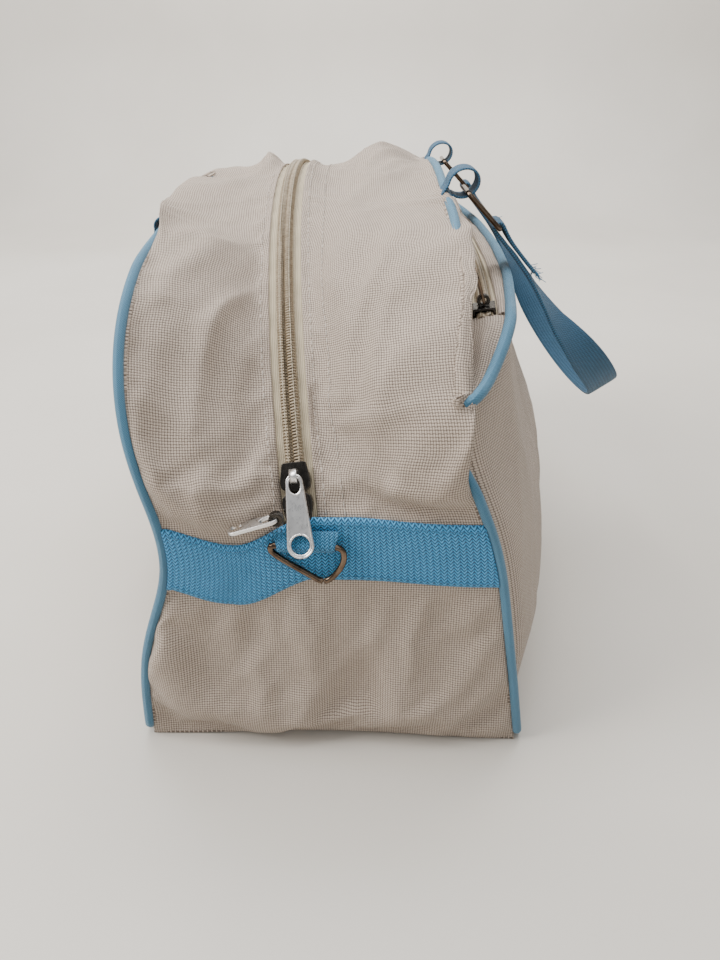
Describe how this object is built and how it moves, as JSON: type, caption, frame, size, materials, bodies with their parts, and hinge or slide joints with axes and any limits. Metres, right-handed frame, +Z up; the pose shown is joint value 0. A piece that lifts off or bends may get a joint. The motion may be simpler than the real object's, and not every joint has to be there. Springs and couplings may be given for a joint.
{
  "type": "soft travel bag",
  "caption": "Soft rectangular travel bag with an arched zip over the top, a zipped front pocket, contrast piping, end belts with rings and webbing handles.",
  "frame": {"origin": "centre of the base, on the floor", "axes": "+X along the length, away from the end where the zip sliders rest; -Y towards the pocket; +Z up"},
  "size_m": [0.3974, 0.2725, 0.2324],
  "materials": {
    "cloth": "woven polyester, matt",
    "webbing": "ribbed polyester webbing",
    "piping": "woven covered cord",
    "zip_tape": "herringbone tape",
    "zip_coil": "satin nylon coil",
    "dark_metal": "gunmetal plating",
    "bright_metal": "satin nickel"
  },
  "bodies": {
    "bag": {"front_panel": "cloth", "back_panel": "cloth", "lower_gusset": "cloth", "upper_gusset_front": "cloth", "upper_gusset_back": "cloth", "pocket_panel": "cloth", "pocket_zip_panel": "cloth", "near_belt": "webbing", "far_belt": "webbing", "near_ring_tab": "webbing", "far_ring_tab": "webbing", "front_tab_near": "webbing", "front_tab_far": "webbing", "back_tab_near": "webbing", "back_tab_far": "webbing", "front_piping": "piping", "back_piping": "piping", "pocket_piping": "piping", "main_tape_front": "zip_tape", "main_tape_back": "zip_tape", "pocket_tape_outer": "zip_tape", "pocket_tape_inner": "zip_tape", "main_coil_front": "zip_coil", "main_coil_back": "zip_coil", "pocket_coil_outer": "zip_coil", "pocket_coil_inner": "zip_coil", "second_slider": "dark_metal"},
    "near_end_ring": {"near_triangle_ring": "dark_metal"},
    "far_end_ring": {"far_triangle_ring": "dark_metal"},
    "zip_slider": {"main_slider": "dark_metal"},
    "zip_puller": {"main_puller": "bright_metal"},
    "second_zip_puller": {"second_puller": "bright_metal"},
    "pocket_zip_slider": {"pocket_slider": "dark_metal"},
    "pocket_zip_puller": {"pocket_puller": "dark_metal"},
    "front_rings": {"front_ring_near": "dark_metal", "front_ring_far": "dark_metal"},
    "front_grip": {"front_handle": "webbing"},
    "back_rings": {"back_ring_near": "dark_metal", "back_ring_far": "dark_metal"},
    "back_grip": {"back_handle": "webbing"}
  },
  "joints": [
    {"name": "main_zip_travel", "type": "hinge", "parent": "bag", "child": "zip_slider", "pos_m": [0, -0.00271, 0.01595], "axis": [0, 0.991, -0.1341], "range_deg": [0, 116.5]},
    {"name": "main_puller_swing", "type": "hinge", "parent": "zip_slider", "child": "zip_puller", "pos_m": [-0.18399, 0.01332, 0.13435], "axis": [0, 0.991, -0.1341], "range_deg": [0, 170]},
    {"name": "second_puller_swing", "type": "hinge", "parent": "bag", "child": "second_zip_puller", "pos_m": [-0.19412, 0.01962, 0.12134], "axis": [1, 0, 0], "range_deg": [0, 60]},
    {"name": "near_end_ring_swing", "type": "hinge", "parent": "bag", "child": "near_end_ring", "pos_m": [-0.1942, 0.0085, 0.109], "axis": [0, 1, 0], "range_deg": [0, 140]},
    {"name": "far_end_ring_swing", "type": "hinge", "parent": "bag", "child": "far_end_ring", "pos_m": [0.1942, 0.0085, 0.109], "axis": [0, -1, 0], "range_deg": [0, 140]},
    {"name": "pocket_zip_travel", "type": "hinge", "parent": "bag", "child": "pocket_zip_slider", "pos_m": [0, 1.33822, -0.04034], "axis": [0, 0.1602, 0.9871], "range_deg": [0, 11.2]},
    {"name": "pocket_puller_swing", "type": "hinge", "parent": "pocket_zip_slider", "child": "pocket_zip_puller", "pos_m": [-0.139, -0.06078, 0.19115], "axis": [1, 0, 0], "range_deg": [0, 95]},
    {"name": "front_ring_swing", "type": "hinge", "parent": "bag", "child": "front_rings", "pos_m": [0, -0.05853, 0.22404], "axis": [-1, 0, 0], "range_deg": [0, 130]},
    {"name": "front_handle_swing", "type": "hinge", "parent": "front_rings", "child": "front_grip", "pos_m": [0, -0.07409, 0.20849], "axis": [-1, 0, 0], "range_deg": [0, 45]},
    {"name": "back_ring_swing", "type": "hinge", "parent": "bag", "child": "back_rings", "pos_m": [0, 0.08452, 0.19694], "axis": [1, 0, 0], "range_deg": [0, 150]},
    {"name": "back_handle_swing", "type": "hinge", "parent": "back_rings", "child": "back_grip", "pos_m": [0, 0.09204, 0.17627], "axis": [1, 0, 0], "range_deg": [0, 45]}
  ]
}
